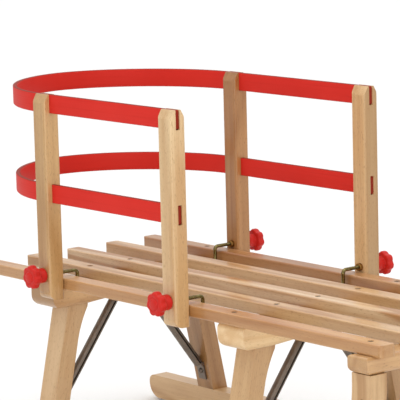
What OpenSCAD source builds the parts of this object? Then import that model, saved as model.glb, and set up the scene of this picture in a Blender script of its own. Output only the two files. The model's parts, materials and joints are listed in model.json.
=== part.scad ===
// Slatted wooden toboggan with a removable child's backrest.
// Frame: +X is the front, +Y is the left side, +Z is up.
// The origin lies on the ground, on the centre line, midway along the whole length.

/* [Seat] */
// Height of the slat tops above the ground
seat_height = 240; // [215:1:290]
// Number of slats
slat_count = 5; // [4:1:6]
// Width of one slat
slat_width = 25; // [20:1:32]
// Thickness of one slat
slat_thick = 15; // [12:1:20]
// Seat width over the two outer slats
seat_width = 302; // [270:1:360]
// Slat length behind the rear yoke's middle
slat_rear = 133; // [90:1:170]
// Slat length ahead of the crossbar's middle
slat_front = 30; // [22:1:60]
// Rounding of the long slat edges
slat_edge_r = 2.5; // [1:0.5:4]
// Rounding of the slat's end corners, seen from above
slat_corner_r = 6; // [3:0.5:9]

/* [Yokes] */
// Distance between the middles of the two yokes
yoke_spacing = 388; // [330:1:480]
// Yoke thickness along the sled
yoke_thick = 50; // [42:1:60]
// Yoke height at its ends
yoke_height = 32; // [26:1:40]
// Rounding of the yoke's long edges
yoke_edge_r = 8; // [3:0.5:10]
// Rounding of the lower corner at each yoke end
yoke_end_r = 15; // [5:0.5:16]
// Distance of the front yoke's ends inside the seat's width
front_yoke_inset = 5; // [0:0.5:10]
// Rise of the arch under the yoke
arch_rise = 7; // [3:0.5:10]
// Half width of the arch under the yoke
arch_half = 104; // [80:1:110]

/* [Legs] */
// Leg width across the sled
leg_width = 25; // [20:1:30]
// Leg depth along the sled
leg_depth = 34; // [26:1:40]
// Outward lean of the legs in degrees
leg_splay = 12; // [8:0.5:15]
// Distance of the leg's middle from the centre line, under the yoke
leg_top_y = 108.5; // [95:0.5:115]
// Extra leg width where it meets the yoke
leg_flare = 8; // [0:0.5:12]
// Length of that flare
leg_flare_len = 48; // [30:1:70]

/* [Runners] */
// Runner width
runner_width = 25; // [20:1:30]
// Runner height
runner_height = 33; // [26:1:40]
// Radius under the upswept front
horn_radius = 185; // [165:1:195]
// Distance from the front yoke's middle to the crossbar's middle
crossbar_ahead = 246; // [235:1:300]
// Runner length behind the rear yoke's middle
runner_rear = 130; // [90:1:170]
// Radius of the hole for a pull cord in each horn
cord_hole_r = 4; // [3:0.5:6]
// Thickness of the steel shoe
shoe_thick = 3; // [2:0.5:4]
// Width of the steel shoe
shoe_width = 20; // [16:1:24]
// Angle that the shoe follows up the horn
shoe_angle = 72; // [50:1:80]

/* [Crossbar] */
// Crossbar depth along the sled
crossbar_depth = 34; // [28:1:44]
// Crossbar height
crossbar_height = 22; // [18:1:28]

/* [Steel struts] */
// Outer radius of a strut
strut_r = 6.3; // [5:0.1:8]
// Wall of a strut
strut_wall = 1.4; // [1:0.1:2]
// Width of the open seam along a strut
strut_seam = 2.4; // [1:0.1:4]
// Distance of a strut's upper end from the centre line
strut_top_y = 17.5; // [15:0.5:40]
// Height of a strut's lower end above the ground
strut_foot_z = 66; // [58:1:90]
// Width of the flattened strut ends
tab_width = 15; // [13:1:20]
// Thickness of the flattened strut ends
tab_thick = 2.5; // [2:0.5:3]

/* [Backrest posts] */
// Post width across the sled
post_width = 24; // [20:1:30]
// Post depth along the sled
post_depth = 26; // [20:1:32]
// Post height above the slat tops
post_above = 248; // [200:1:300]
// Post length below the slat tops
post_below = 27; // [20:1:32]
// Distance from the rear posts to the front posts
post_spacing = 265; // [220:1:290]
// Gap between the rear yoke's front face and the rear posts
post_behind_gap = 1; // [1:0.5:12]
// Rounding of the upright post edges
post_edge_r = 3.5; // [1:0.5:4]
// Rounding of the lower outer post corner
post_foot_r = 12; // [6:0.5:14]
// Height of the slanted shoulders at a post's top
post_crown = 12; // [6:1:16]

/* [Backrest bands] */
// Height of a bent band
band_height = 25; // [20:1:30]
// Thickness of a bent band
band_thick = 6; // [4:0.5:7]
// Height of the lower band's middle above the slat tops
low_band_z = 116; // [90:1:150]
// Reach of the bands behind the rear posts
band_reach = 182; // [150:1:210]
// Roundness of the bend, where 2 is an ellipse
band_power = 1.84; // [1.7:0.01:2.3]
// Depth of the band ends behind the front faces of the front posts
band_inset = 1.5; // [0:0.5:4]

/* [Clamp hooks and knobs] */
// Radius of the hook bolt
bolt_r = 2.5; // [2:0.5:4]
// Height of the bolt's axis above the slat tops
bolt_rise = 6.5; // [6:0.5:10]
// Play between the hook and the slat while the clamp is loose
hook_play = 3; // [1:0.5:5]
// Length of the hook below the slat
hook_below = 7; // [3:0.5:12]
// Inside bend radius of the hook
hook_bend = 2.5; // [2:0.5:4]
// Outer radius of the star knob
knob_r = 16; // [13:0.5:20]
// Number of lobes on the star knob
knob_lobes = 7; // [5:1:8]
// Thickness of the knob's star
knob_star = 13; // [10:0.5:20]
// Length of the knob's hub between the post and the star
knob_hub = 13; // [8:0.5:16]
// Outer radius of the guide bush
bush_r = 5.3; // [4.5:0.1:6]

/* [Fits] */
// Gap between pieces that move past each other
move_gap = 0.3; // [0.3:0.05:0.6]
// Radial running clearance of the bolts
run_gap = 0.05; // [0.03:0.01:0.1]
// Clearance around tenons, bands and screws
wood_gap = 0.1; // [0.05:0.05:0.2]

/* [Hidden] */
$fn = 64;
eps = 0.01;
reach = 2000;

slat_under = seat_height - slat_thick;
slat_pitch = (seat_width - slat_width) / (slat_count - 1);
// Reach of the whole sled ahead of and behind the rear yoke's middle
ahead = yoke_spacing + crossbar_ahead + max(slat_front, crossbar_depth / 2);
behind = max(slat_rear, runner_rear, band_reach + band_thick / 2 - yoke_thick / 2 - post_behind_gap);
rear_x = (behind - ahead) / 2;
front_x = rear_x + yoke_spacing;
yoke_under = slat_under - yoke_height;
crossbar_x = front_x + crossbar_ahead;
crossbar_under = slat_under - crossbar_height;
slat_x0 = rear_x - slat_rear;
slat_x1 = crossbar_x + slat_front;

arch_steps = 10;
yoke_end_top_r = 8;
beam_top_r = 4;
crossbar_over = 6;
crossbar_end_r = 10;
crossbar_edge_r = 7;

runner_top = shoe_thick + runner_height;
leg_drop = yoke_under - runner_top;
runner_y = leg_top_y + leg_drop * tan(leg_splay);
horn_x = crossbar_x + runner_height / 2 - horn_radius;
horn_z = shoe_thick + horn_radius;
runner_x0 = rear_x - runner_rear;
runner_tail_r = 22;
runner_tail_top_r = 10;
cord_hole_drop = 34;
cord_hole_z = crossbar_under - cord_hole_drop;

// Tenons: depth along the sled, width across it, length
leg_tenon = [20, 12, 17];
horn_tenon = [16, 14, 13];

// Wood screws
screw_head_r = 4;
screw_head_h = 2.6;
screw_shank_r = 2.1;
screw_sink = 0.7;
slat_screw_len = 38;
shoe_screw_len = 20;
tab_screw_len = 16;
tab_head_h = 2.4;
shoe_screw_x = [runner_x0 + 44, rear_x + 70, front_x - 70, horn_x - 12];

// Posts and bands
post_rear_x = rear_x + yoke_thick / 2 + post_behind_gap + post_depth / 2;
post_x = [post_rear_x, post_rear_x + post_spacing];
post_y = seat_width / 2 + move_gap + post_width / 2;
post_top = seat_height + post_above;
post_crown_run = (post_width - band_thick) / 2 - 2;
post_inner_foot_r = 4;
band_end = post_x[1] + post_depth / 2 - band_inset;
band_low = seat_height + low_band_z - band_height / 2;
band_high = post_top - band_height;
band_nose_r = 3;
band_edge = 0.6;
band_steps = 40;

// Hook bolts
bolt_z = seat_height + bolt_rise;
hook_turn = hook_bend + bolt_r;
hook_y = seat_width / 2 - slat_width - move_gap - hook_play - bolt_r;
hook_foot = slat_under - hook_below;
post_outer = post_y + post_width / 2;
post_inner = post_y - post_width / 2;
knob_foot = post_outer + move_gap;
knob_depth = knob_hub + knob_star;
knob_cap = 4;
bolt_tip = knob_foot + knob_depth - knob_cap - hook_play - 1;
knob_hub_r = 10;
knob_hub_edge = 2;
knob_waist = 0.8;
knob_dome = 2.5;
scallop_r = 5;
scallop_depth = 1.8;
bush_flange = 2.2;
bush_dome = 2.4;
bush_sleeve_r = bolt_r + 1.2;
bush_sleeve = 12;

// ---------- small helpers ----------

// Rectangle from the origin corner with its own radius at each corner:
// lower left, lower right, upper right, upper left
module round_rect(w, h, r) {
  difference() {
    square([w, h]);
    round_corner(0, 0, r[0], 0);
    round_corner(w, 0, r[1], 90);
    round_corner(w, h, r[2], 180);
    round_corner(0, h, r[3], 270);
  }
}

// The piece that rounding takes off a corner
module round_corner(x, y, r, turn) {
  if (r > 0)
    translate([x, y]) rotate(turn) difference() {
      translate([-eps, -eps]) square(r + eps);
      translate([r, r]) circle(r);
    }
}

// Extrudes a side view, drawn in X and Z, across the sled around y
module side_slab(y, width) {
  translate([0, y + width / 2, 0]) rotate([90, 0, 0]) linear_extrude(width) children();
}

// Extrudes a front view, drawn in Y and Z, along the sled around x
module front_slab(x, depth) {
  translate([x - depth / 2, 0, 0]) rotate([90, 0, 90]) linear_extrude(depth) children();
}

// Countersunk screw that points down from its head, with its head's face at z = 0
module screw(len, grow = 0) {
  translate([0, 0, -screw_head_h])
    cylinder(h = screw_head_h + grow, r1 = screw_shank_r + grow, r2 = screw_head_r + grow);
  translate([0, 0, -len - grow]) cylinder(h = len + grow - screw_head_h / 2, r = screw_shank_r + grow);
}

// Mirrors its children to the right side when side is -1
module on_side(side) {
  if (side > 0) children();
  else mirror([0, 1, 0]) children();
}

// ---------- seat ----------

function slat_y(i) = -seat_width / 2 + slat_width / 2 + i * slat_pitch;

// Places where a slat is screwed down
function slat_screw_x() = [rear_x, front_x, crossbar_x];

module slat(i) {
  color("burlywood") difference() {
    intersection() {
      translate([slat_x0, slat_y(i) - slat_width / 2, slat_under])
        rotate([90, 0, 90]) linear_extrude(slat_x1 - slat_x0)
          round_rect(slat_width, slat_thick, [slat_edge_r, slat_edge_r, slat_edge_r, slat_edge_r]);
      translate([slat_x0, slat_y(i) - slat_width / 2, slat_under - 1])
        linear_extrude(slat_thick + 2)
          round_rect(slat_x1 - slat_x0, slat_width, [for (k = [0:3]) slat_corner_r]);
    }
    for (x = slat_screw_x())
      translate([x, slat_y(i), seat_height - screw_sink]) {
        screw(slat_screw_len, wood_gap);
        cylinder(h = screw_sink + 1, r = screw_head_r + wood_gap);
      }
  }
}

module slat_screws() {
  color("dimgray")
    for (x = slat_screw_x(), i = [0:slat_count - 1])
      translate([x, slat_y(i), seat_height - screw_sink]) screw(slat_screw_len);
}

// Holes that the slat screws leave in what lies under the slats at x
module slat_screw_holes(x) {
  for (i = [0:slat_count - 1])
    translate([x, slat_y(i), seat_height - screw_sink]) screw(slat_screw_len, wood_gap);
}

// ---------- yokes, legs and crossbar ----------

module leg_axis() {
  translate([0, leg_top_y, yoke_under]) rotate([leg_splay, 0, 0]) children();
}

// Both tenons of a leg, on its own axis
module leg_tenons(grow = 0) {
  size = leg_tenon + [2 * grow, 2 * grow, 0];
  leg_axis() {
    translate([-size[0] / 2, -size[1] / 2, -leg_width / 3])
      cube([size[0], size[1], leg_tenon[2] + leg_width / 3 + grow]);
    translate([-size[0] / 2, -size[1] / 2, -leg_drop / cos(leg_splay) - leg_tenon[2] - grow])
      cube([size[0], size[1], leg_tenon[2] + leg_width / 3 + grow]);
  }
}

// Height of the arch above the yoke's underside, y from the centre line
function arch_z(y) = arch_rise * (1 - pow(y / arch_half, 2));

// What the arch takes off under a yoke, in Y and Z
module arch_cut() {
  points = [for (k = [-arch_steps:arch_steps]) let (y = k * arch_half / arch_steps) [y, yoke_under + arch_z(y)]];
  polygon(concat([[-arch_half, yoke_under - 1]], points, [[arch_half, yoke_under - 1]]));
}

module yoke(x, inset) {
  half = seat_width / 2 - inset;
  color("burlywood") difference() {
    intersection() {
      front_slab(x, yoke_thick) difference() {
        translate([-half, yoke_under])
          round_rect(2 * half, yoke_height, [yoke_end_r, yoke_end_r, yoke_end_top_r, yoke_end_top_r]);
        arch_cut();
      }
      side_slab(0, 2 * half) translate([x - yoke_thick / 2, yoke_under])
        round_rect(yoke_thick, yoke_height, [yoke_edge_r, yoke_edge_r, beam_top_r, beam_top_r]);
    }
    for (side = [-1, 1]) {
      translate([x, 0, 0]) on_side(side) leg_tenons(wood_gap);
      translate([x, 0, 0]) on_side(side) strut_top_screw(wood_gap);
    }
    slat_screw_holes(x);
  }
}

// Outline of a leg on its own axis, in Y and Z: straight outside, flared inside at the top
module leg_outline() {
  n = 10;
  over = leg_width;
  flare = [for (k = [0:n]) let (t = k / n) [-leg_width / 2 - leg_flare * pow(1 - t, 2), -t * leg_flare_len]];
  bottom = -leg_drop / cos(leg_splay) - over;
  polygon(concat([[leg_width / 2, bottom], [leg_width / 2, over], [-leg_width / 2 - leg_flare, over]],
                 flare, [[-leg_width / 2, bottom]]));
}

module leg(x, side) {
  color("burlywood") translate([x, 0, 0]) on_side(side) difference() {
    union() {
      intersection() {
        leg_axis() front_slab(0, leg_depth) leg_outline();
        translate([-reach / 2, -reach / 2, runner_top]) cube([reach, reach, leg_drop]);
      }
      leg_tenons();
    }
    strut_foot_screw(wood_gap);
  }
}

module horn_tenon_block(side, grow = 0) {
  translate([crossbar_x - horn_tenon[0] / 2 - grow, side * runner_y - horn_tenon[1] / 2 - grow, crossbar_under - 5])
    cube([horn_tenon[0] + 2 * grow, horn_tenon[1] + 2 * grow, horn_tenon[2] + 5 + grow]);
}

module crossbar() {
  half = runner_y + runner_width / 2 + crossbar_over;
  color("burlywood") difference() {
    intersection() {
      front_slab(crossbar_x, crossbar_depth)
        translate([-half, crossbar_under])
          round_rect(2 * half, crossbar_height, [crossbar_end_r, crossbar_end_r, beam_top_r, beam_top_r]);
      side_slab(0, 2 * half)
        translate([crossbar_x - crossbar_depth / 2, crossbar_under])
          round_rect(crossbar_depth, crossbar_height,
                     [crossbar_edge_r, crossbar_edge_r, beam_top_r, beam_top_r]);
    }
    for (side = [-1, 1]) horn_tenon_block(side, wood_gap);
    slat_screw_holes(crossbar_x);
  }
}

// ---------- runners and shoes ----------

// Quarter ring under the upswept front, up to an angle from straight down
module horn_ring(r_out, r_in, angle) {
  translate([horn_x, horn_z]) intersection() {
    difference() {
      circle(r_out, $fn = 180);
      circle(r_in, $fn = 180);
    }
    polygon([[0, 0], [0, -reach], [reach, -reach], [reach * sin(angle), -reach * cos(angle)]]);
  }
}

module runner_outline() {
  length = horn_x - runner_x0;
  translate([runner_x0, shoe_thick])
    round_rect(length + eps, runner_height, [runner_tail_r, 0, 0, runner_tail_top_r]);
  intersection() {
    horn_ring(horn_radius, horn_radius - runner_height, 90);
    translate([horn_x, 0]) square([reach, horn_z]);
  }
  translate([horn_x + horn_radius - runner_height, horn_z - eps])
    square([runner_height, crossbar_under - horn_z + eps]);
}

module runner(side) {
  color("burlywood") difference() {
    union() {
      side_slab(side * runner_y, runner_width) runner_outline();
      horn_tenon_block(side);
    }
    for (x = [rear_x, front_x]) translate([x, 0, 0]) on_side(side) leg_tenons(wood_gap);
    translate([crossbar_x, side * runner_y + runner_width, cord_hole_z])
      rotate([90, 0, 0]) cylinder(h = 2 * runner_width, r = cord_hole_r);
    shoe_screw_row(side, wood_gap);
    slat_screw_holes(crossbar_x);
  }
}

module shoe_outline() {
  x0 = runner_x0 + runner_tail_r;
  translate([x0, 0]) square([horn_x - x0 + eps, shoe_thick]);
  intersection() {
    horn_ring(horn_radius + shoe_thick, horn_radius, shoe_angle);
    translate([horn_x, -1]) square([reach, reach]);
  }
}

module shoe(side) {
  color("silver") difference() {
    side_slab(side * runner_y, shoe_width) shoe_outline();
    shoe_screw_row(side, wood_gap);
  }
}

// The screws that hold a shoe, heads down and just below flush
module shoe_screw_row(side, grow = 0) {
  for (x = shoe_screw_x)
    translate([x, side * runner_y, screw_sink / 2]) mirror([0, 0, 1]) {
      screw(shoe_screw_len, grow);
      if (grow > 0) cylinder(h = 1, r = screw_head_r + grow);
    }
}

module shoe_screws() {
  color("dimgray") for (side = [-1, 1]) shoe_screw_row(side);
}

// ---------- steel struts ----------

strut_tab_len = 26;
strut_flat_len = 7;
// Where the round part of a strut starts beside its two tabs, in Y and Z
strut_top_off = [9, -3.5];
strut_foot_off = [-4, 8.5];
// Lower face of the top tab, whose outer end touches the arch
strut_tab_z = yoke_under + arch_z(strut_top_y + strut_tab_len / 2) - tab_thick - run_gap;
strut_foot_len = (yoke_under - strut_foot_z) / cos(leg_splay);
// Middle of the foot tab's back face, on the leg's inner face
strut_foot_y = leg_top_y + (yoke_under - strut_foot_z) * tan(leg_splay) - leg_width / 2 / cos(leg_splay);

module strut_top_screw(grow = 0) {
  translate([0, strut_top_y, strut_tab_z]) mirror([0, 0, 1]) tab_screw(grow);
}

module strut_foot_screw(grow = 0) {
  leg_axis() translate([0, -leg_width / 2 - tab_thick, -strut_foot_len]) rotate([90, 0, 0]) tab_screw(grow);
}

// Pan-head screw through a tab whose outer face is at z = 0
module tab_screw(grow = 0) {
  translate([0, 0, -tab_screw_len - grow]) cylinder(h = tab_screw_len + grow + eps, r = screw_shank_r + grow);
  if (grow == 0) cylinder(h = tab_head_h, r = screw_head_r);
}

module strut(x, side) {
  tab_len = strut_tab_len;
  a = [strut_top_y, strut_tab_z] + strut_top_off;
  b = [strut_foot_y - tab_thick, strut_foot_z] + strut_foot_off;
  length = norm(b - a);
  lean = atan2(b[0] - a[0], a[1] - b[1]);
  color("dimgray") translate([x, 0, 0]) on_side(side) difference() {
    union() {
      translate([-tab_width / 2, strut_top_y - tab_len / 2, strut_tab_z])
        cube([tab_width, tab_len, tab_thick]);
      leg_axis() translate([-tab_width / 2, -leg_width / 2 - tab_thick, -strut_foot_len - tab_len / 2])
        cube([tab_width, tab_thick, tab_len]);
      translate([0, a[0], a[1]]) rotate([lean, 0, 0]) {
        difference() {
          translate([0, 0, -length]) cylinder(h = length, r = strut_r);
          translate([0, 0, -length - 1]) cylinder(h = length + 2, r = strut_r - strut_wall);
          translate([0, -strut_seam / 2, -length - 1]) cube([strut_r * 2, strut_seam, length + 2]);
        }
        // Flattened ends
        for (z = [-1, 1 - length - strut_flat_len])
          translate([-tab_width / 2, -tab_thick / 2, z]) cube([tab_width, tab_thick, strut_flat_len]);
      }
    }
    strut_top_screw(wood_gap);
    strut_foot_screw(wood_gap);
    leg_axis() translate([-reach / 2, -leg_width / 2, -reach]) cube([reach, reach, reach]);
    translate([-reach / 2, -reach / 2, strut_tab_z + tab_thick]) cube([reach, reach, reach]);
  }
}

module strut_screws() {
  color("dimgray")
    for (x = [rear_x, front_x], side = [-1, 1])
      translate([x, 0, 0]) on_side(side) {
        strut_top_screw();
        strut_foot_screw();
      }
}

// ---------- backrest ----------

// Upright slot that a band passes through, in Y and Z, with its middle at y = 0
module band_slot(z, height) {
  w = band_thick + 2 * wood_gap;
  r = band_edge + 2 * wood_gap;
  translate([-w / 2, z - wood_gap]) round_rect(w, height + 2 * wood_gap, [r, r, r, r]);
}

// What a slanted shoulder takes off a post's top corner
module shoulder_cut() {
  polygon([[0, -post_crown], [eps, -post_crown], [eps, eps], [-post_crown_run, eps], [-post_crown_run, 0]]);
}

module post(k, side) {
  w = post_width;
  h = post_above + post_below;
  color("burlywood") difference() {
    intersection() {
      translate([0, side * post_y, 0]) front_slab(post_x[k], post_depth)
        mirror([side > 0 ? 0 : 1, 0]) difference() {
          translate([-w / 2, seat_height - post_below])
            round_rect(w, h, [post_inner_foot_r, post_foot_r, 0, 0]);
          for (m = [0, 1]) mirror([m, 0]) translate([w / 2, post_top]) shoulder_cut();
          band_slot(band_low, band_height);
          translate([-band_thick / 2 - wood_gap, band_high - wood_gap])
            square([band_thick + 2 * wood_gap, band_height * 2]);
        }
      translate([post_x[k] - post_depth / 2, side * post_y - w / 2, 0])
        linear_extrude(reach) round_rect(post_depth, w, [for (n = [0:3]) post_edge_r]);
    }
    on_side(side) translate([post_x[k], 0, bolt_z]) {
      rotate([-90, 0, 0]) cylinder(h = reach, r = bolt_r + wood_gap);
      translate([0, post_inner - 1, 0])
        rotate([-90, 0, 0]) cylinder(h = bush_sleeve + 1 + wood_gap, r = bush_sleeve_r + wood_gap);
    }
  }
}

// Middle line of a band behind the rear posts, from the right side round to the left
function bend_point(t) = [
  post_x[0] - post_depth / 2 - band_reach * pow(cos(t), 2 / band_power),
  post_y * sign(t) * pow(abs(sin(t)), 2 / band_power)
];

// Points of the bend, shifted outward by off
function bend_side(off) = [for (k = [0:band_steps])
  let (t = -90 + 180 * k / band_steps,
       p = bend_point(t),
       q = bend_point(min(90, t + 0.5)),
       o = bend_point(max(-90, t - 0.5)),
       d = (q - o) / norm(q - o))
    k == 0 ? [p[0], p[1] - off] : k == band_steps ? [p[0], p[1] + off] : p + off * [-d[1], d[0]]];

function reversed(v) = [for (k = [len(v) - 1:-1:0]) v[k]];

// Outline of a band seen from above, for a given half thickness
module band_outline(half) {
  y0 = post_y - half;
  y1 = post_y + half;
  polygon(concat([[band_end, -y1]], bend_side(half), [[band_end, y1], [band_end, y0]],
                 reversed(bend_side(-half)), [[band_end, -y0]]));
}

module band(z) {
  color("red") intersection() {
    translate([0, 0, z]) {
      linear_extrude(band_height) band_outline(band_thick / 2 - band_edge);
      translate([0, 0, band_edge]) linear_extrude(band_height - 2 * band_edge) band_outline(band_thick / 2);
    }
    side_slab(0, reach) translate([band_end - reach, z])
      round_rect(reach, band_height, [0, band_nose_r, band_nose_r, 0]);
  }
}

// Flanged bush that guides the bolt at the post's inner face
module guide_bush() {
  rotate([-90, 0, 0]) rotate_extrude() {
    difference() {
      union() {
        translate([0, -bush_flange]) square([bush_r, bush_flange]);
        translate([0, -bush_flange]) intersection() {
          circle(bush_r);
          translate([0, -bush_dome]) square([bush_r, bush_dome + eps]);
        }
        square([bush_sleeve_r, bush_sleeve]);
      }
      translate([-eps, -reach / 2]) square([bolt_r + run_gap + eps, reach]);
    }
  }
}

module guide_bushes() {
  color("goldenrod")
    for (k = [0, 1], side = [-1, 1])
      on_side(side) translate([post_x[k], post_inner, bolt_z]) guide_bush();
}

// Bolt from inside the knob, through the post and over the slat, then down beside it
module hook(k, side) {
  color("khaki") on_side(side) translate([post_x[k], 0, 0]) {
    translate([0, hook_y + hook_turn, bolt_z])
      rotate([-90, 0, 0]) cylinder(h = bolt_tip - hook_y - hook_turn, r = bolt_r);
    translate([0, hook_y + hook_turn, bolt_z - hook_turn]) rotate([90, 0, -90])
      rotate_extrude(angle = 90) translate([hook_turn, 0]) circle(bolt_r);
    translate([0, hook_y, hook_foot]) cylinder(h = bolt_z - hook_turn - hook_foot, r = bolt_r);
  }
}

// Star knob, drawn on its axis with its foot at z = 0
module knob_shape() {
  difference() {
    union() {
      rotate_extrude() polygon([[0, 0], [knob_hub_r - knob_hub_edge, 0], [knob_hub_r, knob_hub_edge],
        [knob_hub_r - knob_waist, knob_hub], [knob_hub_r - knob_waist, knob_hub + 1], [0, knob_hub + 1]]);
      intersection() {
        translate([0, 0, knob_hub]) linear_extrude(knob_star) difference() {
          circle(knob_r);
          for (n = [0:knob_lobes - 1])
            rotate((n + 0.5) * 360 / knob_lobes)
              translate([knob_r - scallop_depth + scallop_r, 0]) circle(scallop_r);
        }
        rotate_extrude() polygon([[0, knob_hub], [knob_r - 2.5, knob_hub], [knob_r, knob_hub + 2.5],
          [knob_r - 0.7, knob_depth - knob_dome - 2], [knob_r - 3, knob_depth - knob_dome],
          [knob_r / 2, knob_depth - knob_dome * 0.3], [0, knob_depth]]);
      }
    }
    translate([0, 0, -1]) cylinder(h = knob_depth - knob_cap + 1, r = bolt_r + run_gap);
  }
}

module knob(k, side) {
  color("red") on_side(side) translate([post_x[k], knob_foot, bolt_z]) rotate([-90, 0, 0]) knob_shape();
}

slat(0);  // slat_right_outer
slat(1);  // slat_right_inner
slat(2);  // slat_middle
slat(3);  // slat_left_inner
slat(4);  // slat_left_outer
yoke(rear_x, 0);  // yoke_rear
yoke(front_x, front_yoke_inset);  // yoke_front
crossbar();
leg(rear_x, -1);  // leg_rear_right
leg(rear_x, 1);  // leg_rear_left
leg(front_x, -1);  // leg_front_right
leg(front_x, 1);  // leg_front_left
runner(-1);  // runner_right
runner(1);  // runner_left
shoe(-1);  // shoe_right
shoe(1);  // shoe_left
strut(rear_x, -1);  // strut_rear_right
strut(rear_x, 1);  // strut_rear_left
strut(front_x, -1);  // strut_front_right
strut(front_x, 1);  // strut_front_left
slat_screws();
shoe_screws();
strut_screws();
post(0, -1);  // post_rear_right
post(0, 1);  // post_rear_left
post(1, -1);  // post_front_right
post(1, 1);  // post_front_left
band(band_high);  // band_upper
band(band_low);  // band_lower
guide_bushes();
hook(0, -1);  // hook_rear_right
hook(0, 1);  // hook_rear_left
hook(1, -1);  // hook_front_right
hook(1, 1);  // hook_front_left
knob(0, -1);  // knob_rear_right
knob(0, 1);  // knob_rear_left
knob(1, -1);  // knob_front_right
knob(1, 1);  // knob_front_left
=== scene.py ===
import json
import math

import bmesh
import bpy
from mathutils import Matrix, Vector


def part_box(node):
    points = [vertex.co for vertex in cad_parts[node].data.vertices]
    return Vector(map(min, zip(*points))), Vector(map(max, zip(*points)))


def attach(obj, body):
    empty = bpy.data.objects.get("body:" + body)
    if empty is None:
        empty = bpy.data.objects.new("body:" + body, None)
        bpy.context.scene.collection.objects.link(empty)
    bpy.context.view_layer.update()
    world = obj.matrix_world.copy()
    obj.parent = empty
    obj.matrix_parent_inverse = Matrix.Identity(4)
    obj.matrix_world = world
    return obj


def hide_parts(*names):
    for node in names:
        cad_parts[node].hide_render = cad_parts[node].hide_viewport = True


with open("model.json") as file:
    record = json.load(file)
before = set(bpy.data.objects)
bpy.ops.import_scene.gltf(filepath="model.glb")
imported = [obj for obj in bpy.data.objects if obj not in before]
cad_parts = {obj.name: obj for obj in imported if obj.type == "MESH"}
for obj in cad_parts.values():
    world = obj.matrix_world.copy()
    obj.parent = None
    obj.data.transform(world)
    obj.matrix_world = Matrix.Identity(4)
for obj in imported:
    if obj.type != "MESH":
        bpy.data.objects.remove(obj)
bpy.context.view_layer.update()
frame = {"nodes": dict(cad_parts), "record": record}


# ---------------------------------------------------------------- Cross beams
# The two yokes and the crossbar are sawn beech, planed, with their long edges
# routed round and an arch cut under each yoke. They take the leg tenons and
# the slat screws, and are finished with a clear lacquer.

MM = 0.001


def linear(code):
    """Turns an sRGB hex colour into the linear colour that a shader takes."""
    parts = [int(code[i:i + 2], 16) / 255 for i in (0, 2, 4)]
    return (*[c / 12.92 if c <= 0.04045 else ((c + 0.055) / 1.055) ** 2.4 for c in parts], 1)


def add(tree, kind, inputs=None, **settings):
    """Adds one node with its settings. Inputs are numbers, colours or sockets to link."""
    node = tree.nodes.new(kind)
    for name, value in settings.items():
        setattr(node, name, value)
    for name, value in (inputs or {}).items():
        if isinstance(value, bpy.types.NodeSocket):
            tree.links.new(value, node.inputs[name])
        else:
            node.inputs[name].default_value = value
    return node


def new_material(name):
    """An empty material with its tree, shader and output."""
    material = bpy.data.materials.new(name)
    material.use_nodes = True
    tree = material.node_tree
    tree.nodes.clear()
    shader = add(tree, "ShaderNodeBsdfPrincipled")
    add(tree, "ShaderNodeOutputMaterial", {"Surface": shader.outputs[0]})
    return material, tree, shader


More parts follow.
